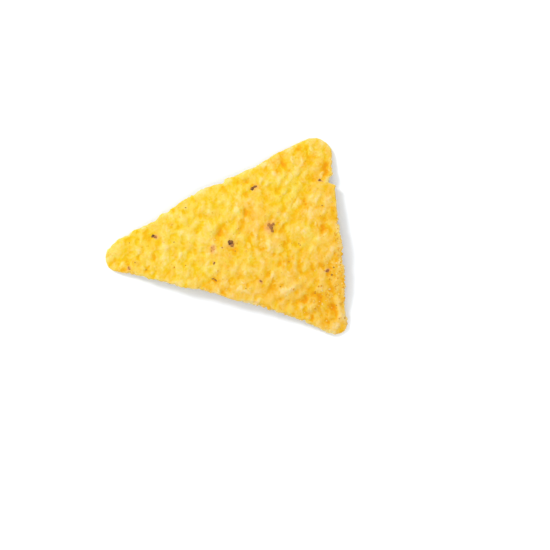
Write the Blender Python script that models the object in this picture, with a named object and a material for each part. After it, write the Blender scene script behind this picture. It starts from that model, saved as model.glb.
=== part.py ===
"""One triangular corn tortilla chip: a thin, arched, blistered sheet that rests on its three corners.

Sizes are in millimetres and become metres when the mesh is finished. The long axis is X, with the
narrow tip towards -X and the wide base towards +X. The crest of the arch is up.
"""

import math
from collections import namedtuple

import bmesh
import bpy
from mathutils import Matrix, Vector, noise

MM = 0.001

# The cut triangle, before its corners are rounded, centred on its own middle
LENGTH = 65.1
BASE = 52.7
TIP = Vector((-LENGTH * 2 / 3, 0))
LEFT = Vector((LENGTH / 3, BASE / 2))
RIGHT = Vector((LENGTH / 3, -BASE / 2))
CORNERS = (TIP, LEFT, RIGHT)
CORNER_RADII = (4.0, 4.1, 2.3)

# The sheet and its arch
THICKNESS = 1.5
ARCH_RADIUS_ALONG = 155.0
ARCH_RADIUS_ACROSS = 84.0
WARP_HEIGHT = 0.8
WARP_LENGTH = 24.0
RIM_ROUNDING = 0.4
RIM_THINNING = 0.2
RIM_CALM = 0.5
FOOT_DEPTH = 0.12

# The fried skin
SWELL_HEIGHT = 0.4
SWELL_LENGTH = 6.5
BLISTER_HEIGHT = 0.15
BLISTER_LENGTH = 1.9
BLISTER_STEEPNESS = 3.2
GRAIN_STRETCH = 0.72
GRAIN_LEAN = 0.15
FRAY_DEPTH = 0.36
FRAY_LENGTH = 1.7
FRAY_LEAN = 0.4
CALM_LENGTH = 16.0
TOP_SLICE = 0.0
UNDER_SLICE = 40.0
# Seeds the bends of the skin's grain, so that each build gives the same blisters
SKIN_SEED = 1795890575

# Rows of triangles from a corner to the side across from it, and rows between the rim's two edges
ROWS = 70
RIM_ROWS = 2

# How far out the rows lie that are evened out beside the rim, and where a point counts as on the rim
SHOULDER_START = 0.85
ON_RIM = 0.999

# A side runs from one corner to another. It bows outwards by bow, furthest out at its middle where
# skew is 1 and further along where skew is more. Each lump is (place from 0 to 1, height, half width).
Side = namedtuple("Side", "start end bow skew lumps")
BASE_SIDE = Side(
    LEFT, RIGHT, 0.35, 1.0,
    (
        (0.243, -0.95, 0.7), (0.262, -1.0, 0.7), (0.29, 0.3, 0.9),
        (0.33, 0.15, 1.2), (0.54, 0.4, 2.4), (0.69, 0.3, 2.4), (0.86, -0.45, 2.0),
    ),
)
LOWER_SIDE = Side(
    TIP, RIGHT, -1.2, 1.7,
    (
        (0.12, 0.6, 5.5), (0.265, 0.35, 2.2), (0.37, 0.5, 2.6), (0.446, -0.4, 0.9), (0.5, -0.2, 2.5),
        (0.525, 0.35, 1.3), (0.585, 0.35, 1.7), (0.77, 0.25, 2.0), (0.84, 0.2, 1.2), (0.92, 0.9, 4.5),
    ),
)
UPPER_SIDE = Side(
    TIP, LEFT, 0.0, 1.0,
    (
        (0.1, -0.4, 4.5), (0.134, -0.3, 0.8), (0.189, -0.35, 0.9), (0.29, -0.45, 2.8), (0.333, 0.4, 0.8),
        (0.358, -0.45, 0.8), (0.466, 0.85, 7.0), (0.507, 0.3, 1.3), (0.574, -0.5, 0.9),
        (0.598, 0.55, 0.9), (0.676, 0.2, 2.0), (0.7, -0.3, 2.2), (0.76, -0.3, 1.3), (0.78, 0.35, 2.6),
    ),
)
# Each side stands opposite the corner with the same place in CORNERS.
SIDES = (BASE_SIDE, LOWER_SIDE, UPPER_SIDE)
SIDE_FADE = 3.0

# Hollows and ridges that stand out on the top: (along, across, half length, half width, turn, height)
DENTS = (
    (-7.6, 3.0, 2.2, 1.0, 46, -0.65),
    (-10.5, 4.0, 1.7, 1.2, 20, 0.4),
    (9.4, 18.9, 1.0, 1.2, 0, -0.4),
    (-0.1, 15.0, 1.7, 0.8, 10, -0.4),
    (-2.9, 8.3, 1.5, 0.9, 60, 0.4),
    (-0.9, 7.4, 1.4, 0.45, 85, -0.4),
    (4.5, -1.3, 1.0, 1.2, 0, 0.35),
    (7.8, -13.1, 4.6, 0.8, 27, 0.5),
    (12.4, -15.7, 3.6, 1.4, 8, -0.45),
    (13.3, -18.2, 1.6, 1.0, 0, 0.25),
    (12.9, -19.5, 1.0, 0.8, 0, -0.4),
    (20.1, 15.7, 1.1, 1.5, 0, -0.5),
    (12.1, 18.3, 1.0, 1.0, 0, 0.3),
    (14.1, 8.8, 1.2, 1.4, 0, -0.45),
    (16.2, 9.3, 1.1, 1.0, 0, 0.3),
    (20.1, -19.6, 2.4, 0.7, 100, 0.7),
    (18.5, -18.4, 1.9, 0.8, 95, -0.5),
)

# Flecks of dark corn hull on the top: (along, across, length, width, turn in degrees)
FLECKS = (
    (1.8, 13.2, 1.6, 0.7, 32),
    (-24.3, 3.7, 1.2, 0.7, 0),
    (-5.3, -0.2, 1.6, 1.4, 60),
    (5.1, 3.4, 1.6, 0.8, 0),
    (5.2, 2.4, 1.1, 0.8, -55),
    (-9.9, -4.6, 0.9, 0.5, 60),
    (-10.3, -8.6, 1.1, 0.5, -25),
    (1.2, -10.2, 0.8, 0.5, -40),
    (18.0, -9.4, 1.0, 0.7, 10),
    (19.7, -8.7, 0.5, 0.5, 0),
    (19.0, -10.5, 0.6, 0.5, 60),
    (18.4, 13.4, 0.9, 0.6, 10),
)
FLECK_HEIGHT = 0.45


def clear_scene():
    """Removes whatever the file opened with."""
    for old in list(bpy.data.objects):
        bpy.data.objects.remove(old, do_unlink=True)


def crisp_corn():
    """Fried corn dough: golden yellow, dull, a little oily."""
    material = bpy.data.materials.new("fried_corn")
    material.use_nodes = True
    shader = material.node_tree.nodes["Principled BSDF"]
    shader.inputs["Base Color"].default_value = (0.76, 0.49, 0.07, 1)
    shader.inputs["Roughness"].default_value = 0.6
    shader.inputs["Metallic"].default_value = 0
    return material


def corner_shares(point):
    """How much of each corner is in a point of the flat triangle: 1 at the corner, 0 on its far side."""
    tip_share = (LENGTH / 3 - point.x) / LENGTH
    base_share = 1 - tip_share
    left_share = (base_share + point.y / (BASE / 2)) / 2
    return (tip_share, left_share, base_share - left_share)


def rounded(point, outward):
    """Draws a point of the sharp triangle's edge in, towards the middle, onto the rounded corner.

    Returns it with the direction that faces straight out there, which is outward along a side."""
    for corner, radius in zip(CORNERS, CORNER_RADII):
        others = [other for other in CORNERS if other is not corner]
        inward = sum(((other - corner).normalized() for other in others), Vector((0, 0)))
        half_angle = inward.angle(others[0] - corner)
        if (point - corner).length < radius / math.tan(half_angle):
            middle = corner + inward.normalized() * radius / math.sin(half_angle)
            direction = point.normalized()
            along = direction.dot(middle)
            rim = direction * (along + math.sqrt(along ** 2 - middle.length_squared + radius ** 2))
            return rim, (rim - middle) / radius
    return point, outward


def side_offset(side, place):
    """How far a side stands out from its straight line, at a place from 0 to 1 along it.

    It fades to nothing at both ends, where the next side takes over."""
    length = (side.end - side.start).length
    offset = side.bow * math.sin(math.pi * place ** side.skew)
    for centre, height, half_width in side.lumps:
        offset += height * math.exp(-((place - centre) * length / half_width) ** 2)
    from_end = min(place, 1 - place) * length
    return offset * min(1, from_end / SIDE_FADE)


def raggedness(rim):
    """How ragged the rim is at a point: little round the tip and the blunt corner, most at the sharp one."""
    calm = sum(math.exp(-((rim - corner).length / CALM_LENGTH) ** 2) for corner in (TIP, LEFT))
    return (0.75 - 0.012 * rim.y) * (1 - 0.8 * calm)


def plan_place(point, layer):
    """Moves a point of the flat sharp triangle to its place in the chip's outline.

    Layer is 1 on the top, -1 on the underside and between them down the rim, which is drawn in round
    towards both. Returns the place, and how far out it is: 0 in the chip's middle and 1 on its rim."""
    shares = corner_shares(point)
    nearest = shares.index(min(shares))
    out = 1 - 3 * shares[nearest]
    if out < 0.001:
        return point, 0
    side = SIDES[nearest]
    edge_point = point / out
    along = side.end - side.start
    place = (edge_point - side.start).dot(along) / along.length_squared
    outward = Vector((along.y, -along.x)).normalized()
    if outward.dot(edge_point) < 0:
        outward = -outward
    rim, facing = rounded(edge_point, outward)
    spot = Vector((rim.x, rim.y, layer * FRAY_LEAN))
    ragged = raggedness(rim) * facing.dot(outward)
    fray = FRAY_DEPTH * (0.4 + 0.6 * ragged) * noise.fractal(spot / FRAY_LENGTH, 1.0, 2.0, 3)
    drawn_in = RIM_ROUNDING * (1 - math.cos(layer * math.pi / 2))
    placed = rim * out
    placed += outward * side_offset(side, place) * out ** 5
    placed += facing * (fray - drawn_in) * out ** 16
    return placed, out


def arch(place):
    """Height of the sheet's middle layer: one wide arch with a lazy, uneven warp."""
    warp = WARP_HEIGHT * noise.noise(Vector((place.x, place.y, 9)) / WARP_LENGTH)
    fall = place.x ** 2 / ARCH_RADIUS_ALONG + place.y ** 2 / ARCH_RADIUS_ACROSS
    return warp - fall / 2


def dented(place):
    """Height that the named hollows and ridges add to the top."""
    height = 0
    for along, across, half_length, half_width, turn, depth in DENTS:
        offset = Matrix.Rotation(-math.radians(turn), 2) @ (place - Vector((along, across)))
        spread = (offset.x / half_length) ** 2 + (offset.y / half_width) ** 2
        if spread < 9:
            height += depth * math.exp(-spread)
    return height


def fried_skin(place, slice_height):
    """Height of the fried skin: broad swells, flat-topped blisters and, on the top, the named dents."""
    point = Vector((place.x, place.y, slice_height))
    swell = SWELL_HEIGHT * noise.noise(point / SWELL_LENGTH)
    bent = point + 0.3 * noise.noise_vector(point / 1.6)
    bent = Vector((bent.x - GRAIN_LEAN * bent.y, GRAIN_STRETCH * bent.y, bent.z))
    blister = math.tanh(BLISTER_STEEPNESS * noise.noise(bent / BLISTER_LENGTH))
    dent = dented(place) if slice_height == TOP_SLICE else 0
    return swell + dent + BLISTER_HEIGHT * blister


def flat_slab(mesh):
    """A flat triangle of fine triangles with a top at 1, an underside at -1 and a rim between.

    The last small face at each corner is left out, because rounding the corner would flatten it."""
    corners = [mesh.verts.new((corner.x, corner.y, -1)) for corner in (TIP, LEFT, RIGHT)]
    mesh.faces.new(corners)
    bmesh.ops.subdivide_edges(mesh, edges=mesh.edges[:], cuts=ROWS - 1, use_grid_fill=True)
    sharp = [vert for vert in mesh.verts if len(vert.link_faces) == 1]
    bmesh.ops.delete(mesh, geom=sharp, context="VERTS")
    raised = bmesh.ops.extrude_face_region(mesh, geom=mesh.faces[:], use_keep_orig=True)
    top = [item for item in raised["geom"] if isinstance(item, bmesh.types.BMVert)]
    bmesh.ops.translate(mesh, verts=top, vec=(0, 0, 2))
    uprights = [edge for edge in mesh.edges if edge.verts[0].co.z != edge.verts[1].co.z]
    bmesh.ops.subdivide_edges(mesh, edges=uprights, cuts=RIM_ROWS - 1)


def shape_sheet(mesh):
    """Gives the flat slab the chip's outline, rounded rim, arch and fried skin."""
    shoulders = []
    for vert in mesh.verts:
        layer = vert.co.z
        place, out = plan_place(vert.co.to_2d(), layer)
        skin = fried_skin(place, TOP_SLICE if layer >= 0 else UNDER_SLICE)
        half = (THICKNESS / 2 + skin * (1 - RIM_CALM * out ** 16)) * (1 - RIM_THINNING * out ** 16)
        vert.co = (place.x, place.y, arch(place) + math.sin(layer * math.pi / 2) * half)
        if SHOULDER_START < out < ON_RIM:
            shoulders.append(vert)
    for _ in range(3):
        bmesh.ops.smooth_vert(mesh, verts=shoulders, factor=0.5, use_axis_x=True, use_axis_y=True)


def stand_on_corners(mesh):
    """Tilts the chip onto the lowest point under each corner, and flattens a small foot there."""
    for _ in range(3):
        feet = []
        for corner in CORNERS:
            near = [vert for vert in mesh.verts if (vert.co.to_2d() - corner).length < LENGTH / 4]
            feet.append(min(near, key=lambda vert: vert.co.z).co.copy())
        normal = (feet[1] - feet[0]).cross(feet[2] - feet[0])
        for vert in mesh.verts:
            tilt = normal.x * (vert.co.x - feet[0].x) + normal.y * (vert.co.y - feet[0].y)
            vert.co.z += tilt / normal.z - feet[0].z
    for vert in mesh.verts:
        vert.co.z = max(vert.co.z - FOOT_DEPTH, 0)


def chip_object():
    """The whole sheet as one closed object, still in millimetres about the triangle's middle."""
    noise.seed_set(SKIN_SEED)
    mesh = bmesh.new()
    flat_slab(mesh)
    shape_sheet(mesh)
    stand_on_corners(mesh)
    bmesh.ops.triangulate(mesh, faces=mesh.faces[:])
    bmesh.ops.recalc_face_normals(mesh, faces=mesh.faces[:])
    data = bpy.data.meshes.new("chip")
    mesh.to_mesh(data)
    mesh.free()
    chip = bpy.data.objects.new("chip", data)
    bpy.context.scene.collection.objects.link(chip)
    return chip


def fleck_object(chip, along, across, length, width, turn):
    """One shard of hull, half sunk into the skin under it and lying along the skin's slope."""
    hit, spot, normal, _ = chip.ray_cast(Vector((along, across, 30)), Vector((0, 0, -1)))
    mesh = bmesh.new()
    bmesh.ops.create_icosphere(mesh, subdivisions=1, radius=0.5)
    size = Matrix.Diagonal((length, width, FLECK_HEIGHT, 1))
    lean = Vector((0, 0, 1)).rotation_difference(normal).to_matrix().to_4x4()
    turned = Matrix.Rotation(math.radians(turn), 4, "Z")
    bmesh.ops.transform(mesh, matrix=Matrix.Translation(spot) @ lean @ turned @ size, verts=mesh.verts[:])
    data = bpy.data.meshes.new("fleck")
    mesh.to_mesh(data)
    mesh.free()
    return bpy.data.objects.new("fleck", data)


def fuse_flecks(chip):
    """Joins the flecks to the chip as one solid, and removes the loose ones."""
    flecks = bpy.data.collections.new("flecks")
    bpy.context.scene.collection.children.link(flecks)
    for fleck in FLECKS:
        flecks.objects.link(fleck_object(chip, *fleck))
    union = chip.modifiers.new("fuse_flecks", "BOOLEAN")
    union.operation = "UNION"
    union.operand_type = "COLLECTION"
    union.collection = flecks
    bpy.context.view_layer.objects.active = chip
    bpy.ops.object.modifier_apply(modifier=union.name)
    for fleck in list(flecks.objects):
        bpy.data.objects.remove(fleck, do_unlink=True)
    bpy.data.collections.remove(flecks)


def centre_in_metres(chip):
    """Turns the mesh into metres, with its box centred over the origin and its feet at height 0."""
    points = [vert.co for vert in chip.data.vertices]
    middle_x = (min(point.x for point in points) + max(point.x for point in points)) / 2
    middle_y = (min(point.y for point in points) + max(point.y for point in points)) / 2
    centred = Matrix.Scale(MM, 4) @ Matrix.Translation((-middle_x, -middle_y, 0))
    chip.data.transform(centred)


def main():
    clear_scene()
    chip = chip_object()
    fuse_flecks(chip)
    centre_in_metres(chip)
    chip.data.materials.append(crisp_corn())


main()
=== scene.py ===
"""One fried triangular corn tortilla chip, alone on a white surface in soft studio light.

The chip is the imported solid's own shape made again much finer, with all of its fried skin. Sizes are
in millimetres until a mesh is finished. The chip's length runs along X, narrow tip towards -X.
"""

import math
import random
from collections import namedtuple

import bmesh
import bpy
from mathutils import Matrix, Vector, noise


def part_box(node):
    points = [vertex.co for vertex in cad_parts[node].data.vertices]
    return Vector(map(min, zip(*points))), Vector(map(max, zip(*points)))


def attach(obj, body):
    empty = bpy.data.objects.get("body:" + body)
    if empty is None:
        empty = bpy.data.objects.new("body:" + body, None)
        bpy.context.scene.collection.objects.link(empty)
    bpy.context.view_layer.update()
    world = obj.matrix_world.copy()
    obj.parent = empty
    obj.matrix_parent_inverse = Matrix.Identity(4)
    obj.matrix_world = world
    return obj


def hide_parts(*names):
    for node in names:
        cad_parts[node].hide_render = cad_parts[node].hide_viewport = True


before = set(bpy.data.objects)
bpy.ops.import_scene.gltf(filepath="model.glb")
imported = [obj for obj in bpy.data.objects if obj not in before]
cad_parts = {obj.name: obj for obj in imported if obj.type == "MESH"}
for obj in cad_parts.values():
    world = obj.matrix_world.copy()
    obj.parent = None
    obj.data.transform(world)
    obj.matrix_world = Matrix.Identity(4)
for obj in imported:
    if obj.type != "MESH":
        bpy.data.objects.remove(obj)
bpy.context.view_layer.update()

# The sheet of dough
# Ground corn dough, rolled thin, cut by a triangular die, toasted and then fried. Frying arches the
# sheet and blisters its skin. It lies loose on its three corner tips and nothing holds it.

MM = 0.001

# The cut triangle, before its corners are rounded, centred on its own middle
LENGTH = 65.1
BASE = 52.7
TIP = Vector((-LENGTH * 2 / 3, 0))
LEFT = Vector((LENGTH / 3, BASE / 2))
RIGHT = Vector((LENGTH / 3, -BASE / 2))
CORNERS = (TIP, LEFT, RIGHT)
CORNER_RADII = (3.85, 4.1, 2.3)

THICKNESS = 1.5
ARCH_RADIUS_ALONG = 155.0
ARCH_RADIUS_ACROSS = 84.0
WARP_HEIGHT = 0.8
WARP_LENGTH = 24.0
RIM_ROUNDING = 0.4
RIM_THINNING = 0.2
RIM_CALM = 0.5
FOOT_DEPTH = 0.12
FOOT_REACH = LENGTH / 4
SETTLING_ROUNDS = 3

# The fried skin, from its broadest swells to its crumb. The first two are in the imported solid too.
SWELL_HEIGHT = 0.4
SWELL_LENGTH = 6.5
BLISTER_HEIGHT = 0.15
BLISTER_LENGTH = 1.9
BLISTER_STEEPNESS = 3.2
CRINKLE_HEIGHT = 0.05
CRINKLE_LENGTH = 1.15
CRINKLE_STEEPNESS = 3.5
FLAKE_HEIGHT = 0.08
FLAKE_LENGTH = 1.1
FLAKE_SEAM = 0.25
FLAKE_SCATTER = 5.3
CRUMB_HEIGHT = 0.05
CRUMB_LENGTH = 0.45
GRAIN_STRETCH = 0.72
GRAIN_LEAN = 0.15
GRAIN_BEND = 0.3
GRAIN_BEND_LENGTH = 1.6
ROUGHNESS_SWING = 0.6
SMOOTH_PATCH_LENGTH = 4.5
TOP_SLICE = 0.0
UNDER_SLICE = 40.0
# Seeds the bends of the skin's grain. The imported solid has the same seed, and so the same blisters.
SKIN_SEED = 1795890575

# The rim frays a little all round, and chips here and there, least round the tip and the blunt corner.
FRAY_DEPTH = 0.36
FRAY_LEAST = 0.4
FRAY_LENGTH = 1.7
FRAY_LEAN = 0.4
CHIPPING_DEPTH = 0.42
CHIPPING_LENGTH = 0.6
CHIPPED_LEVEL = 0.8
CHIPPED_SWING = 2.0
CHIPPED_STRETCH = 4.0
RAGGED_MIDDLE = 0.75
RAGGED_ACROSS = 0.012
CALM_SHARE = 0.8
CALM_LENGTH = 16.0
RIM_CRUST = 0.22

# How fast a change fades from the rim inwards: the higher, the nearer to the rim it stays
SIDE_FALLOFF = 5
RIM_FALLOFF = 16
CRUST_FALLOFF = 30
CHIPPING_FALLOFF = 40

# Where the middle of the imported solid's outline lies, measured from the middle of the cut triangle
OUTLINE_MIDDLE = Vector((-7.170, -0.532, 0))

# Rows of triangles from a corner to the side across from it, and rows between the rim's two edges
ROWS = 300
RIM_ROWS = 6

# A side runs from one corner to another. It bows outwards by bow, furthest out at its middle where
# skew is 1 and further along where skew is more. Each lump is (place from 0 to 1, height, half width).
Side = namedtuple("Side", "start end bow skew lumps")
BASE_SIDE = Side(
    LEFT, RIGHT, 0.35, 1.0,
    (
        (0.12, 0.4, 2.2), (0.243, -0.95, 0.7), (0.26, -1.0, 0.55), (0.279, 0.45, 0.5),
        (0.33, 0.15, 1.2), (0.46, -0.2, 3.0), (0.54, 0.4, 2.4), (0.69, 0.3, 2.4), (0.86, -0.45, 2.0),
    ),
)
LOWER_SIDE = Side(
    TIP, RIGHT, -1.2, 1.7,
    (
        (0.075, 0.4, 2.0), (0.12, 0.6, 5.5), (0.265, 0.35, 2.2), (0.37, 0.5, 2.6), (0.446, -0.4, 0.9),
        (0.5, -0.2, 2.5), (0.525, 0.35, 1.3), (0.585, 0.35, 1.7), (0.77, 0.25, 2.0), (0.84, 0.2, 1.2),
        (0.92, 0.9, 4.5),
    ),
)
UPPER_SIDE = Side(
    TIP, LEFT, 0.0, 1.0,
    (
        (0.1, -0.4, 4.5), (0.115, -0.25, 1.8), (0.189, -0.35, 0.9), (0.29, -0.45, 2.8),
        (0.333, 0.4, 0.8), (0.358, -0.45, 0.8), (0.466, 0.85, 7.0), (0.507, 0.3, 1.3),
        (0.574, -0.5, 0.9), (0.598, 0.55, 0.9), (0.676, 0.2, 2.0), (0.7, -0.3, 2.2),
        (0.76, -0.3, 1.3), (0.78, 0.35, 2.6), (0.945, -0.28, 1.6),
    ),
)
# Each side stands opposite the corner with the same place in CORNERS.
SIDES = (BASE_SIDE, LOWER_SIDE, UPPER_SIDE)
SIDE_FADE = 3.0


def corner_shares(point):
    """How much of each corner is in a point of the flat triangle: 1 at the corner, 0 on its far side."""
    tip_share = (LENGTH / 3 - point.x) / LENGTH
    base_share = 1 - tip_share
    left_share = (base_share + point.y / (BASE / 2)) / 2
    return (tip_share, left_share, base_share - left_share)


def rounded(point, outward):
    """Draws a point of the sharp triangle's edge in, towards the middle, onto the rounded corner.

    Returns it with the direction that faces straight out there, which is outward along a side."""
    for corner, radius in zip(CORNERS, CORNER_RADII):
        others = [other for other in CORNERS if other is not corner]
        inward = sum(((other - corner).normalized() for other in others), Vector((0, 0)))
        half_angle = inward.angle(others[0] - corner)
        if (point - corner).length < radius / math.tan(half_angle):
            middle = corner + inward.normalized() * radius / math.sin(half_angle)
            direction = point.normalized()
            along = direction.dot(middle)
            rim = direction * (along + math.sqrt(along ** 2 - middle.length_squared + radius ** 2))
            return rim, (rim - middle) / radius
    return point, outward


def side_offset(side, place):
    """How far a side stands out from its straight line, at a place from 0 to 1 along it.

    It fades to nothing at both ends, where the next side takes over."""
    length = (side.end - side.start).length
    offset = side.bow * math.sin(math.pi * place ** side.skew)
    for centre, height, half_width in side.lumps:
        offset += height * math.exp(-((place - centre) * length / half_width) ** 2)
    from_end = min(place, 1 - place) * length
    return offset * min(1, from_end / SIDE_FADE)


def raggedness(rim):
    """How ragged the rim is: little round the tip and the blunt corner, most at the sharp corner."""
    calm = sum(math.exp(-((rim - corner).length / CALM_LENGTH) ** 2) for corner in (TIP, LEFT))
    return (RAGGED_MIDDLE - RAGGED_ACROSS * rim.y) * (1 - CALM_SHARE * calm)


def plan_place(point, layer):
    """Moves a point of the flat sharp triangle to its place in the chip's outline.

    Layer is 1 on the top, -1 on the underside and between them down the rim, which is drawn in round
    towards both. Returns the place, and how far out it is: 0 in the chip's middle and 1 on its rim."""
    shares = corner_shares(point)
    nearest = shares.index(min(shares))
    out = 1 - 3 * shares[nearest]
    if out < 0.001:
        return point, 0
    side = SIDES[nearest]
    edge_point = point / out
    along = side.end - side.start
    place = (edge_point - side.start).dot(along) / along.length_squared
    outward = Vector((along.y, -along.x)).normalized()
    if outward.dot(edge_point) < 0:
        outward = -outward
    rim, facing = rounded(edge_point, outward)
    spot = Vector((rim.x, rim.y, layer * FRAY_LEAN))
    ragged = raggedness(rim) * facing.dot(outward)
    frayed = FRAY_LEAST + (1 - FRAY_LEAST) * ragged
    fray = FRAY_DEPTH * frayed * noise.fractal(spot / FRAY_LENGTH, 1.0, 2.0, 3)
    chipped = max(0, CHIPPED_LEVEL + CHIPPED_SWING * noise.noise(spot / CHIPPED_STRETCH))
    spot.z = layer * THICKNESS / 2
    chipping = CHIPPING_DEPTH * chipped * ragged * noise.noise(spot / CHIPPING_LENGTH)
    drawn_in = RIM_ROUNDING * (1 - math.cos(layer * math.pi / 2))
    placed = rim * out
    placed += outward * side_offset(side, place) * out ** SIDE_FALLOFF
    placed += facing * ((fray - drawn_in) * out ** RIM_FALLOFF + chipping * out ** CHIPPING_FALLOFF)
    return placed, out


def arch(place):
    """Height of the sheet's middle layer: one wide arch with a lazy, uneven warp."""
    warp = WARP_HEIGHT * noise.noise(Vector((place.x, place.y, 9)) / WARP_LENGTH)
    fall = place.x ** 2 / ARCH_RADIUS_ALONG + place.y ** 2 / ARCH_RADIUS_ACROSS
    return warp - fall / 2


# Hollows and ridges that stand out on the top: (along, across, half length, half width, turn, height)
DENTS = (
    (-7.6, 3.0, 2.2, 1.0, 46, -0.65),
    (-10.5, 4.0, 1.7, 1.2, 20, 0.4),
    (9.4, 18.9, 1.0, 1.2, 0, -0.4),
    (-0.1, 15.0, 1.7, 0.8, 10, -0.4),
    (-2.9, 8.3, 1.5, 0.9, 60, 0.4),
    (-0.9, 7.4, 1.4, 0.45, 85, -0.4),
    (4.5, -1.3, 1.0, 1.2, 0, 0.35),
    (7.8, -13.1, 4.6, 0.8, 27, 0.5),
    (12.4, -15.7, 3.6, 1.4, 8, -0.45),
    (13.3, -18.2, 1.6, 1.0, 0, 0.25),
    (12.9, -19.5, 1.0, 0.8, 0, -0.4),
    (20.1, 15.7, 1.1, 1.5, 0, -0.5),
    (12.1, 18.3, 1.0, 1.0, 0, 0.3),
    (14.1, 8.8, 1.2, 1.4, 0, -0.45),
    (16.2, 9.3, 1.1, 1.0, 0, 0.3),
    (20.1, -19.6, 2.4, 0.7, 100, 0.7),
    (18.5, -18.4, 1.9, 0.8, 95, -0.5),
)


def dented(place):
    """Height that the named hollows and ridges add to the top."""
    height = 0
    for along, across, half_length, half_width, turn, depth in DENTS:
        offset = Matrix.Rotation(-math.radians(turn), 2) @ (place - Vector((along, across)))
        spread = (offset.x / half_length) ** 2 + (offset.y / half_width) ** 2
        if spread < 9:
            height += depth * math.exp(-spread)
    return height


def fried_skin(place, slice_height):
    """Height of the skin, and how crusty it is there: about 0 in an oily hollow and 1 on a dry crest."""
    point = Vector((place.x, place.y, slice_height))
    swell = SWELL_HEIGHT * noise.noise(point / SWELL_LENGTH)
    rough = 1 + ROUGHNESS_SWING * noise.noise(point / SMOOTH_PATCH_LENGTH + Vector((50, 0, 0)))
    bent = point + GRAIN_BEND * noise.noise_vector(point / GRAIN_BEND_LENGTH)
    bent = Vector((bent.x - GRAIN_LEAN * bent.y, GRAIN_STRETCH * bent.y, bent.z))
    blister = math.tanh(BLISTER_STEEPNESS * noise.noise(bent / BLISTER_LENGTH))
    crinkle = rough * math.tanh(CRINKLE_STEEPNESS * noise.noise(bent / CRINKLE_LENGTH))
    crumb = rough * noise.fractal(bent / CRUMB_LENGTH, 0.8, 2.0, 2)
    distances, centres = noise.voronoi(bent / FLAKE_LENGTH)
    from_seam = min(1, (distances[1] - distances[0]) / FLAKE_SEAM)
    flake = rough * 2 * noise.noise(centres[0] * FLAKE_SCATTER) * from_seam
    dent = dented(place) if slice_height == TOP_SLICE else 0
    height = swell + dent + BLISTER_HEIGHT * blister + CRINKLE_HEIGHT * crinkle
    height += FLAKE_HEIGHT * flake + CRUMB_HEIGHT * crumb
    crust = 0.5 + 0.9 * dent + 0.2 * swell / SWELL_HEIGHT
    crust += 0.15 * blister + 0.14 * crinkle + 0.3 * flake + 0.2 * crumb
    return height, crust


# Where hull stains the dough or lies under its skin: (along, across, length, width, turn, darkness)
STAINS = (
    (2.2, 13.2, 2.2, 1.1, 28, 0.3),
    (-23.8, 3.5, 1.3, 1.0, -20, 0.42),
    (-5.1, -0.3, 2.0, 1.8, 60, 0.3),
    (4.8, 3.0, 2.5, 2.1, 80, 0.36),
    (-9.9, -1.0, 1.9, 1.4, 60, 0.36),
    (-7.5, -0.9, 0.8, 0.7, 0, 0.2),
    (-9.9, -4.6, 0.9, 0.6, 70, 0.35),
    (18.1, -9.4, 1.2, 0.8, 15, 0.5),
    (1.2, -10.3, 1.2, 0.7, -30, 0.35),
    (18.8, 13.1, 1.1, 0.5, -30, 0.45),
    (-31.4, -3.6, 1.1, 0.7, 60, 0.4),
)
# A stain's outline wanders by STAIN_FRAY, and it is gone at STAIN_REACH times its own half width.
STAIN_FRAY = 0.4
STAIN_FRAY_LENGTH = 0.6
STAIN_REACH = 1.6


def hull_stain(place):
    """How much hull shows through at a point of the top, from 0 for none to 1 for the darkest."""
    ragged = STAIN_FRAY * noise.noise_vector(place.to_3d() / STAIN_FRAY_LENGTH).to_2d()
    stain = 0
    for along, across, length, width, turn, darkness in STAINS:
        offset = Matrix.Rotation(-math.radians(turn), 2) @ (place + ragged - Vector((along, across)))
        spread = math.hypot(offset.x / length, offset.y / width) * 2
        stain = max(stain, darkness * min(1, max(0, STAIN_REACH - spread)))
    return stain


# Where the oven toasted the dough more or less than around it, and left it drier or oilier:
# (along, across, reach, amber, dryness)
OVEN_PATCHES = (
    (2.0, 6.3, 6.0, 0.45, -0.08),
    (-15.0, 0.7, 8.0, -0.3, 0.1),
    (14.1, 1.2, 4.0, -0.45, 0.1),
    (13.4, 11.4, 5.0, -0.3, 0.0),
    (19.4, -10.6, 6.0, 0.5, -0.1),
    (-31.4, -3.6, 4.0, 0.3, -0.15),
    (16.1, 21.1, 5.0, 0.2, -0.1),
    (-4.7, 1.4, 2.8, -0.15, 0.13),
    (19.6, 0.7, 3.0, 0.0, -0.12),
)
# How amber the dough is in the chip's middle, how much more for each millimetre along, how much less
# for each across, and what patches, freckles and oily hollows add. The slope along and across darkens
# the
# dough towards the sharp base corner: partly uneven toasting, partly painted shade. The oily hollows'
# amber is partly painted shade on the walls of the dents.
AMBER_MIDDLE = 0.42
AMBER_AND_SHADE_ALONG = 0.012
AMBER_AND_SHADE_ACROSS = 0.016
AMBER_PATCH = 0.6
AMBER_PATCH_LENGTH = 8.0
AMBER_FRECKLE = 0.7
AMBER_FRECKLE_LENGTH = 1.7
AMBER_OIL_AND_SHADE = 1.5


def toasting_and_painted_shade(place):
    """How amber the dough is at a point, most in hollows and towards the sharp base corner; both rises
    are partly painted shade.

    Returns it with how much drier the skin is there than elsewhere."""
    patch = noise.noise(Vector((place.x, place.y, 21)) / AMBER_PATCH_LENGTH)
    freckle = noise.noise(Vector((place.x, place.y, 32)) / AMBER_FRECKLE_LENGTH)
    # Dented hollows turn more amber: gathered oil, and painted orange shade on walls that face away from
    # the lamp.
    oil_and_shade = max(0, -dented(place))
    # Darker and more amber towards the sharp base corner: uneven toasting and painted shade.
    amber = AMBER_MIDDLE + AMBER_AND_SHADE_ALONG * place.x - AMBER_AND_SHADE_ACROSS * place.y
    amber += AMBER_PATCH * patch + AMBER_FRECKLE * freckle + AMBER_OIL_AND_SHADE * oil_and_shade
    dryness = 0
    for along, across, reach, more_amber, drier in OVEN_PATCHES:
        share = math.exp(-((place - Vector((along, across))).length / reach) ** 2)
        amber += more_amber * share
        dryness += drier * share
    return amber, dryness


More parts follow.
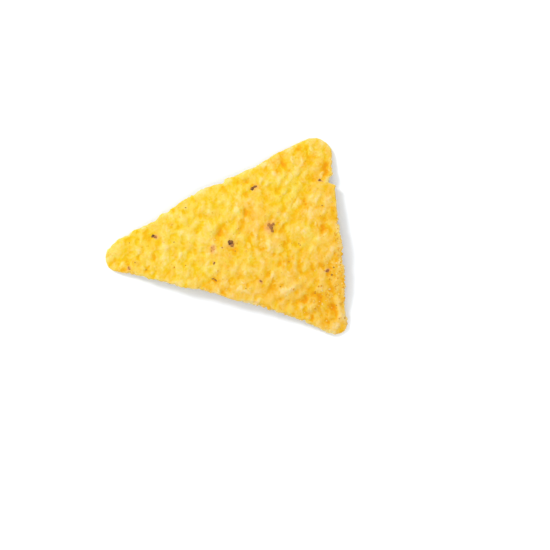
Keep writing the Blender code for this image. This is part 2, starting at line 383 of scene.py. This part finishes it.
def flat_slab(mesh, rows):
    """A flat triangle of fine triangles with a top at 1, an underside at -1 and a rim between.

    The last small face at each corner is left out, because rounding the corner would flatten it."""
    corners = [mesh.verts.new((corner.x, corner.y, -1)) for corner in (TIP, LEFT, RIGHT)]
    mesh.faces.new(corners)
    bmesh.ops.subdivide_edges(mesh, edges=mesh.edges[:], cuts=rows - 1, use_grid_fill=True)
    sharp = [vert for vert in mesh.verts if len(vert.link_faces) == 1]
    bmesh.ops.delete(mesh, geom=sharp, context="VERTS")
    raised = bmesh.ops.extrude_face_region(mesh, geom=mesh.faces[:], use_keep_orig=True)
    top = [item for item in raised["geom"] if isinstance(item, bmesh.types.BMVert)]
    bmesh.ops.translate(mesh, verts=top, vec=(0, 0, 2))
    uprights = [edge for edge in mesh.edges if edge.verts[0].co.z != edge.verts[1].co.z]
    bmesh.ops.subdivide_edges(mesh, edges=uprights, cuts=RIM_ROWS - 1)


def shape_sheet(mesh, crust_layer, hull_layer, toast_and_shade_layer):
    """Gives the flat slab the chip's outline, rounded rim, arch and fried skin.

    Down the rim the crust changes with the depth below the top, as through bubbly dough."""
    for vert in mesh.verts:
        layer = vert.co.z
        place, out = plan_place(vert.co.to_2d(), layer)
        skin, crust = fried_skin(place, TOP_SLICE if layer >= 0 else UNDER_SLICE)
        at_rim = out ** RIM_FALLOFF
        half = (THICKNESS / 2 + skin * (1 - RIM_CALM * at_rim)) * (1 - RIM_THINNING * at_rim)
        vert.co = (place.x, place.y, arch(place) + math.sin(layer * math.pi / 2) * half)
        if abs(layer) < 1:
            _, crust = fried_skin(place, (1 - layer) * THICKNESS / 2)
        amber, dryness = toasting_and_painted_shade(place)
        vert[crust_layer] = crust + dryness + RIM_CRUST * out ** CRUST_FALLOFF
        vert[toast_and_shade_layer] = amber
        if layer > 0:
            vert[hull_layer] = hull_stain(place)


def stand_on_corners(mesh):
    """Tilts the chip onto the lowest point under each corner, and flattens a small foot there."""
    for _ in range(SETTLING_ROUNDS):
        feet = []
        for corner in CORNERS:
            near = [vert for vert in mesh.verts if (vert.co.to_2d() - corner).length < FOOT_REACH]
            feet.append(min(near, key=lambda vert: vert.co.z).co.copy())
        normal = (feet[1] - feet[0]).cross(feet[2] - feet[0])
        for vert in mesh.verts:
            tilt = normal.x * (vert.co.x - feet[0].x) + normal.y * (vert.co.y - feet[0].y)
            vert.co.z += tilt / normal.z - feet[0].z
    for vert in mesh.verts:
        vert.co.z = max(vert.co.z - FOOT_DEPTH, 0)


def finished(mesh, name):
    """Closes a bmesh and puts it in the scene under its name, smooth shaded, in metres already."""
    bmesh.ops.recalc_face_normals(mesh, faces=mesh.faces[:])
    data = bpy.data.meshes.new(name)
    mesh.to_mesh(data)
    mesh.free()
    data.shade_smooth()
    piece = bpy.data.objects.new(name, data)
    bpy.context.scene.collection.objects.link(piece)
    return piece


def dough_sheet():
    """The whole chip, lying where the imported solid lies, and the matrix that seats it there."""
    noise.seed_set(SKIN_SEED)
    mesh = bmesh.new()
    names = ("crust", "hull", "toast_and_shade")
    for name in names:
        mesh.verts.layers.float.new(name)
    flat_slab(mesh, ROWS)
    shape_sheet(mesh, *(mesh.verts.layers.float[name] for name in names))
    stand_on_corners(mesh)
    bmesh.ops.triangulate(mesh, faces=mesh.faces[:])
    lowest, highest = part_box("chip")
    middle = (lowest + highest) / 2
    seat = Matrix.Translation((middle.x, middle.y, lowest.z)) @ Matrix.Scale(MM, 4)
    seat = seat @ Matrix.Translation(-OUTLINE_MIDDLE)
    bmesh.ops.transform(mesh, matrix=seat, verts=mesh.verts[:])
    return finished(mesh, "dough_sheet"), seat


def linear(hex_colour):
    """An sRGB hex colour as linear red, green, blue and alpha."""
    channels = [int(hex_colour[place:place + 2], 16) / 255 for place in (1, 3, 5)]
    return [c / 12.92 if c <= 0.04045 else ((c + 0.055) / 1.055) ** 2.4 for c in channels] + [1.0]


def add_node(tree, kind, settings=None, values=None, links=None):
    """Adds a node to a tree, with its settings, its sockets' values and the outputs linked to them."""
    node = tree.nodes.new(kind)
    for name, setting in (settings or {}).items():
        setattr(node, name, setting)
    for socket, value in (values or {}).items():
        node.inputs[socket].default_value = value
    for socket, output in (links or {}).items():
        tree.links.new(output, node.inputs[socket])
    return node


def set_stops(ramp_node, stops):
    """Fills a colour ramp with (place, hex colour) stops."""
    ramp = ramp_node.color_ramp
    while len(ramp.elements) < len(stops):
        ramp.elements.new(0.5)
    for element, (place, colour) in zip(ramp.elements, stops):
        element.position = place
        element.color = linear(colour)


def mixed(tree, share, colour, other_colour):
    """A colour blended into another one, an output or a hex colour, by a share from 0 to 1."""
    mix = add_node(tree, "ShaderNodeMix", {"data_type": "RGBA"})
    tree.links.new(share, mix.inputs[0])
    tree.links.new(colour, mix.inputs[6])
    if isinstance(other_colour, str):
        mix.inputs[7].default_value = linear(other_colour)
    else:
        tree.links.new(other_colour, mix.inputs[7])
    return mix.outputs[2]


# Sizes in the dough's colour: the mill's grit, the patches of oil, and the space between pores, whose
# pits are painted as darker dots of shade
GRIT_SIZE = 0.5
OIL_PATCH_SIZE = 2.6
PORE_SPACING = 1.0


def fried_corn_dough():
    """Masa fried in oil: dry pale crests, and hollows where oil and seasoning gather and turn orange.
    Towards the sharp base corner and in the dents, its amber is partly painted shade.
    """
    material = bpy.data.materials.new("fried_corn_dough")
    material.use_nodes = True
    tree = material.node_tree
    shader = tree.nodes["Principled BSDF"]
    place = add_node(tree, "ShaderNodeTexCoord").outputs["Object"]
    crust = add_node(tree, "ShaderNodeAttribute", {"attribute_name": "crust"}).outputs["Fac"]
    hull = add_node(tree, "ShaderNodeAttribute", {"attribute_name": "hull"}).outputs["Fac"]
    toast_and_shade = add_node(tree, "ShaderNodeAttribute", {"attribute_name": "toast_and_shade"}).outputs["Fac"]

    grain = add_node(
        tree, "ShaderNodeTexNoise",
        values={"Scale": 1 / (GRIT_SIZE * MM), "Detail": 4.0, "Roughness": 0.6},
        links={"Vector": place},
    ).outputs["Fac"]
    patch = add_node(
        tree, "ShaderNodeTexNoise", values={"Scale": 1 / (OIL_PATCH_SIZE * MM), "Detail": 2.0},
        links={"Vector": place},
    ).outputs["Fac"]
    grainy = add_node(
        tree, "ShaderNodeMath", {"operation": "MULTIPLY_ADD"}, {1: 0.35}, {0: grain, 2: crust}
    ).outputs["Value"]
    patchy = add_node(
        tree, "ShaderNodeMath", {"operation": "MULTIPLY_ADD"}, {1: 0.7}, {0: patch, 2: grainy}
    ).outputs["Value"]
    level = add_node(
        tree, "ShaderNodeMath", {"operation": "SUBTRACT"}, {1: 0.53}, {0: patchy}
    ).outputs["Value"]
    lemon = add_node(tree, "ShaderNodeValToRGB", links={"Fac": level})
    set_stops(lemon, (
        (0.0, "#DFAB00"), (0.25, "#E0B90F"), (0.5, "#E1C140"), (0.75, "#E2C85A"), (1.0, "#E4CF7C"),
    ))
    amber = add_node(tree, "ShaderNodeValToRGB", links={"Fac": level})
    set_stops(amber, (
        (0.0, "#DF9400"), (0.25, "#E1A80F"), (0.5, "#E3B440"), (0.75, "#E4BD5A"), (1.0, "#E6C67C"),
    ))
    # The darker, more orange amber ramp paints shade towards the sharp base corner and in the dents, as
    # well as toasting and oil.
    dough = mixed(tree, toast_and_shade, lemon.outputs["Color"], amber.outputs["Color"])

    # Pinholes are not cut into the skin. Each one is painted as a darker orange-brown dot, the painted
    # shade of a pit.
    pores = add_node(
        tree, "ShaderNodeTexVoronoi", values={"Scale": 1 / (PORE_SPACING * MM)}, links={"Vector": place}
    )
    pore_shade = add_node(
        tree, "ShaderNodeMapRange",
        values={"From Min": 0.06, "From Max": 0.22, "To Min": 0.5, "To Max": 0.0},
        links={"Value": pores.outputs["Distance"]},
    ).outputs["Result"]
    shaded_pore_here = add_node(
        tree, "ShaderNodeMath", {"operation": "GREATER_THAN"}, {1: 0.6}, {0: pores.outputs["Color"]}
    ).outputs["Value"]
    pore_shade = add_node(
        tree, "ShaderNodeMath", {"operation": "MULTIPLY"}, links={0: pore_shade, 1: shaded_pore_here}
    ).outputs["Value"]
    with_pore_shade = mixed(tree, pore_shade, dough, "#BE7E0C")

    hull_colour = add_node(tree, "ShaderNodeValToRGB", links={"Fac": hull})
    set_stops(hull_colour, ((0.0, "#E8B878"), (0.3, "#D9985E"), (0.5, "#A86A48"), (1.0, "#6E4038")))
    hull_cover = add_node(
        tree, "ShaderNodeMapRange", values={"From Min": 0.02, "From Max": 0.5}, links={"Value": hull}
    ).outputs["Result"]
    stained = mixed(tree, hull_cover, with_pore_shade, hull_colour.outputs["Color"])
    tree.links.new(stained, shader.inputs["Base Color"])

    bump = add_node(
        tree, "ShaderNodeBump", values={"Strength": 0.8, "Distance": 0.12 * MM}, links={"Height": grain}
    )
    tree.links.new(bump.outputs["Normal"], shader.inputs["Normal"])
    shader.inputs["Roughness"].default_value = 0.6
    shader.inputs["Specular IOR Level"].default_value = 0.12
    shader.inputs["Subsurface Weight"].default_value = 0.4
    shader.inputs["Subsurface Radius"].default_value = (1.0, 0.6, 0.15)
    shader.inputs["Subsurface Scale"].default_value = 0.4 * MM
    return material


sheet, seat = dough_sheet()
sheet.data.materials.append(fried_corn_dough())
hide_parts("chip")
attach(sheet, "root")

# The shards of hull
# Bits of the kernels' dark skin that the mill left whole. They were rolled into the dough with it, so
# each lies in the fried skin, half sunk, and is fixed by the dough round it.

# (along, across, length, width, turn, darkness)
SHARDS = (
    (1.5, 13.0, 1.0, 0.7, 40, 0.72),
    (2.2, 13.4, 0.9, 0.5, 10, 0.56),
    (-24.5, 3.8, 0.9, 0.6, 35, 0.72),
    (-24.0, 3.5, 0.8, 0.6, -30, 0.4),
    (-5.4, 0.0, 1.5, 1.3, 60, 0.72),
    (-5.0, -0.5, 1.1, 0.9, 10, 0.4),
    (4.7, 3.5, 1.0, 0.8, -35, 0.24),
    (5.6, 3.5, 1.0, 0.7, 40, 0.4),
    (5.1, 2.8, 1.0, 0.8, -60, 0.4),
    (5.3, 2.0, 0.9, 0.6, -50, 0.4),
    (-10.2, -0.7, 0.3, 0.25, 0, 0.24),
    (-10.3, -1.5, 0.35, 0.25, 40, 0.18),
    (-9.6, -1.2, 0.3, 0.2, 80, 0.24),
    (-7.5, -0.9, 0.35, 0.3, 0, 0.3),
    (-4.4, -2.1, 0.3, 0.25, 0, 0.36),
    (-9.9, -4.6, 0.8, 0.35, 60, 0.48),
    (-10.6, -8.4, 0.7, 0.3, 0, 0.56),
    (-10.0, -8.8, 0.7, 0.28, -50, 0.64),
    (-15.6, 10.0, 0.45, 0.25, 0, 0.3),
    (-19.4, 1.7, 0.35, 0.25, 20, 0.18),
    (-21.9, 1.8, 0.25, 0.2, 0, 0.12),
    (-30.6, 2.7, 0.3, 0.25, 0, 0.18),
    (-31.4, -3.4, 0.6, 0.22, 65, 0.32),
    (-31.2, -3.9, 0.45, 0.2, -20, 0.24),
    (-29.7, -2.3, 0.35, 0.25, 0, 0.18),
    (-27.1, -4.4, 0.4, 0.3, 0, 0.18),
    (-17.1, -4.4, 0.35, 0.25, 30, 0.18),
    (18.0, -9.4, 0.9, 0.6, 10, 0.4),
    (19.7, -8.7, 0.4, 0.35, 0, 0.42),
    (19.0, -10.5, 0.45, 0.35, 60, 0.48),
    (1.2, -10.2, 0.7, 0.4, -40, 0.4),
    (21.2, -21.6, 0.4, 0.3, 0, 0.36),
    (8.7, -6.1, 0.3, 0.25, 0, 0.18),
    (11.9, -2.3, 0.3, 0.25, 0, 0.12),
    (5.9, -12.1, 0.35, 0.25, 0, 0.18),
    (-2.7, -11.7, 0.3, 0.25, 0, 0.24),
    (14.4, -14.6, 0.3, 0.25, 0, 0.18),
    (19.4, -18.2, 0.4, 0.3, 0, 0.24),
    (11.6, -1.9, 0.4, 0.2, 30, 0.12),
    (18.4, 7.0, 0.35, 0.25, 0, 0.18),
    (18.4, 13.4, 0.7, 0.5, 10, 0.64),
)
# Height of a shard a millimetre long or more; a smaller one is lower by as much as it is shorter
SHARD_HEIGHT = 0.35
TORN_DEPTH = 0.7
TORN_DETAIL = 3.5
HULL_MOTTLE_SIZE = 0.6
# Shards and crumbs are dropped onto the skin from this height.
DROP_HEIGHT = 30.0


def spot_on_sheet(along, across):
    """The point of the fried skin over a place given in millimetres, and the skin's slope there."""
    above = seat @ Vector((along, across, DROP_HEIGHT))
    hit, spot, slope, _ = sheet.ray_cast(above, Vector((0, 0, -1)))
    if not hit:
        return None
    return Matrix.Translation(spot) @ Vector((0, 0, 1)).rotation_difference(slope).to_matrix().to_4x4()


def shard(mesh, dark_layer, along, across, length, width, turn, darkness):
    """One thin shard with a torn outline, lying along the skin's slope."""
    ball = bmesh.ops.create_icosphere(mesh, subdivisions=3, radius=0.5)["verts"]
    for vert in ball:
        vert[dark_layer] = darkness
        vert.co *= 1 + TORN_DEPTH * noise.noise(vert.co * TORN_DETAIL + Vector((along, across, 0)))
    size = Matrix.Diagonal((length, width, SHARD_HEIGHT * min(1, length), 1))
    laid = spot_on_sheet(along, across) @ Matrix.Rotation(math.radians(turn), 4, "Z")
    bmesh.ops.transform(mesh, matrix=laid @ Matrix.Scale(MM, 4) @ size, verts=ball)


def kernel_skin():
    """Fried bran: thin, tough and a little waxy. It is dark brown where thick, and amber where thin."""
    material = bpy.data.materials.new("kernel_skin")
    material.use_nodes = True
    tree = material.node_tree
    shader = tree.nodes["Principled BSDF"]
    place = add_node(tree, "ShaderNodeTexCoord").outputs["Object"]
    darkness = add_node(tree, "ShaderNodeAttribute", {"attribute_name": "darkness"}).outputs["Fac"]
    mottling = add_node(
        tree, "ShaderNodeTexNoise", values={"Scale": 1 / (HULL_MOTTLE_SIZE * MM), "Detail": 3.0},
        links={"Vector": place},
    ).outputs["Fac"]
    mottled = add_node(
        tree, "ShaderNodeMath", {"operation": "MULTIPLY_ADD"}, {1: 1.0}, {0: mottling, 2: darkness}
    ).outputs["Value"]
    thickness = add_node(
        tree, "ShaderNodeMath", {"operation": "SUBTRACT"}, {1: 0.5}, {0: mottled}
    ).outputs["Value"]
    colour = add_node(tree, "ShaderNodeValToRGB", links={"Fac": thickness})
    set_stops(colour, ((0.1, "#B87A20"), (0.4, "#A06B38"), (0.65, "#80522A"), (0.9, "#4C2D16")))
    tree.links.new(colour.outputs["Color"], shader.inputs["Base Color"])
    bump = add_node(
        tree, "ShaderNodeBump", values={"Strength": 0.5, "Distance": 0.05 * MM},
        links={"Height": mottling},
    )
    tree.links.new(bump.outputs["Normal"], shader.inputs["Normal"])
    shader.inputs["Roughness"].default_value = 0.5
    shader.inputs["Specular IOR Level"].default_value = 0.2
    return material


shard_mesh = bmesh.new()
shard_darkness = shard_mesh.verts.layers.float.new("darkness")
for measures in SHARDS:
    shard(shard_mesh, shard_darkness, *measures)
shards = finished(shard_mesh, "hull_shards")
shards.data.materials.append(kernel_skin())
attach(shards, "root")

# The loose crumbs
# Grains of fried dough that rubbed off the rim. A film of oil holds them on the skin, most of them at
# the sharp base corner and along the wide side.

# Each drift of crumbs is (along, across, spread along, spread across, number of crumbs).
DRIFTS = (
    (17.5, -16.5, 1.6, 2.2, 30),
    (19.0, -14.5, 1.6, 4.5, 30),
    (14.0, -13.0, 5.0, 4.0, 20),
    (21.5, -8.0, 0.4, 8.0, 70),
    (-2.0, 0.0, 14.0, 8.0, 20),
)
CRUMB_SIZES = (0.3, 0.65)
CRUMB_CORNERS = (0.7, 1.25)
CRUMB_FLATNESS = 0.55
CRUMB_SINKING = 0.07
CRUMB_KIND_SIZE = 1.2


def crumb(mesh, along, across, size):
    """One angular grain, more than half of its height sunk into the skin."""
    lying = spot_on_sheet(along, across)
    if lying is None:
        return
    grain = bmesh.ops.create_icosphere(mesh, subdivisions=1, radius=size / 2 * MM)["verts"]
    for vert in grain:
        vert.co *= random.uniform(*CRUMB_CORNERS)
        vert.co.z = CRUMB_FLATNESS * vert.co.z - CRUMB_SINKING * size * MM
    spin = Matrix.Rotation(random.uniform(0, math.tau), 4, "Z")
    bmesh.ops.transform(mesh, matrix=lying @ spin, verts=grain)


def fried_crumb():
    """Crumbs of the same dough: dry cream grains among golden and toasted ones."""
    material = bpy.data.materials.new("fried_crumb")
    material.use_nodes = True
    tree = material.node_tree
    shader = tree.nodes["Principled BSDF"]
    place = add_node(tree, "ShaderNodeTexCoord").outputs["Object"]
    kind = add_node(
        tree, "ShaderNodeTexNoise", values={"Scale": 1 / (CRUMB_KIND_SIZE * MM), "Detail": 1.0},
        links={"Vector": place},
    ).outputs["Fac"]
    colour = add_node(tree, "ShaderNodeValToRGB", links={"Fac": kind})
    set_stops(colour, ((0.36, "#D08A18"), (0.45, "#E0A62C"), (0.56, "#E4B852"), (0.7, "#E8CB84")))
    tree.links.new(colour.outputs["Color"], shader.inputs["Base Color"])
    shader.inputs["Roughness"].default_value = 0.6
    shader.inputs["Specular IOR Level"].default_value = 0.12
    return material


random.seed(7)
crumb_mesh = bmesh.new()
for along, across, spread_along, spread_across, number in DRIFTS:
    for _ in range(number):
        where = (random.gauss(along, spread_along), random.gauss(across, spread_across))
        crumb(crumb_mesh, *where, random.uniform(*CRUMB_SIZES))
crumbs = finished(crumb_mesh, "dough_crumbs")
crumbs.data.materials.append(fried_crumb())
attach(crumbs, "root")

# The white surface
# A plain matte white board under the chip, far larger than what the camera sees.

# The board's size is in metres. CLOUD_SIZE is that of its faint clouds, in millimetres.
FLOOR_SIZE = 40.0
FLOOR_WHITES = ("#F0F5FB", "#F4F8FD")
CLOUD_SIZE = 30


def white_board():
    """Matte white card, with a faint unevenness in its white."""
    material = bpy.data.materials.new("white_card")
    material.use_nodes = True
    tree = material.node_tree
    shader = tree.nodes["Principled BSDF"]
    place = add_node(tree, "ShaderNodeTexCoord").outputs["Object"]
    cloud = add_node(
        tree, "ShaderNodeTexNoise", values={"Scale": 1 / (CLOUD_SIZE * MM), "Detail": 3.0},
        links={"Vector": place},
    ).outputs["Fac"]
    white = add_node(tree, "ShaderNodeValToRGB", links={"Fac": cloud})
    set_stops(white, ((0.3, FLOOR_WHITES[0]), (0.7, FLOOR_WHITES[1])))
    tree.links.new(white.outputs["Color"], shader.inputs["Base Color"])
    shader.inputs["Roughness"].default_value = 0.9
    shader.inputs["Specular IOR Level"].default_value = 0.1
    return material


board_mesh = bmesh.new()
bmesh.ops.create_grid(board_mesh, x_segments=1, y_segments=1, size=FLOOR_SIZE / 2)
board = finished(board_mesh, "white_board")
board.data.materials.append(white_board())

# The light
# One large soft lamp from the upper left of the picture, and an even white room that fills the shadows.

PICTURE_TURN = math.radians(-5.92)
LAMP_BEARING = math.radians(138.7) + PICTURE_TURN
LAMP_HEIGHT_ANGLE = math.radians(41)
LAMP_SPREAD = math.radians(14)
LAMP_STRENGTH = 1.37
ROOM_STRENGTH = 1.03


def soft_lamp():
    """A sun lamp wide enough to blur a shadow's edge as a softbox does."""
    lamp = bpy.data.lights.new("soft_lamp", "SUN")
    lamp.energy = LAMP_STRENGTH
    lamp.angle = LAMP_SPREAD
    holder = bpy.data.objects.new("soft_lamp", lamp)
    flat = math.cos(LAMP_HEIGHT_ANGLE)
    direction = Vector((
        flat * math.cos(LAMP_BEARING),
        flat * math.sin(LAMP_BEARING),
        math.sin(LAMP_HEIGHT_ANGLE),
    ))
    holder.rotation_euler = direction.to_track_quat("Z", "Y").to_euler()
    bpy.context.scene.collection.objects.link(holder)


def white_room():
    """The even white surround of a photographer's light tent."""
    world = bpy.data.worlds.new("white_room")
    world.use_nodes = True
    background = world.node_tree.nodes["Background"]
    background.inputs["Color"].default_value = (1, 1, 1, 1)
    background.inputs["Strength"].default_value = ROOM_STRENGTH
    bpy.context.scene.world = world


soft_lamp()
white_room()

# The camera
# Straight above, with a long lens, turned and placed so that the chip lies in the picture as it does in
# the photograph. VIEW_WIDTH is what it sees of the surface, round PICTURE_MIDDLE.

LENS = 150.0
SENSOR = 36.0
VIEW_WIDTH = 137.5
PICTURE_MIDDLE = (4.885, -9.065)
CHIP_LEVEL = 4.0

camera_data = bpy.data.cameras.new("camera")
camera_data.lens = LENS
camera_data.sensor_width = SENSOR
camera_data.clip_end = 100.0
camera = bpy.data.objects.new("camera", camera_data)
camera_height = CHIP_LEVEL + VIEW_WIDTH * LENS / SENSOR
camera.location = seat @ Vector((*PICTURE_MIDDLE, camera_height))
camera.rotation_euler = (0, 0, PICTURE_TURN)
bpy.context.scene.collection.objects.link(camera)
bpy.context.scene.camera = camera
bpy.context.scene.view_settings.view_transform = "Standard"
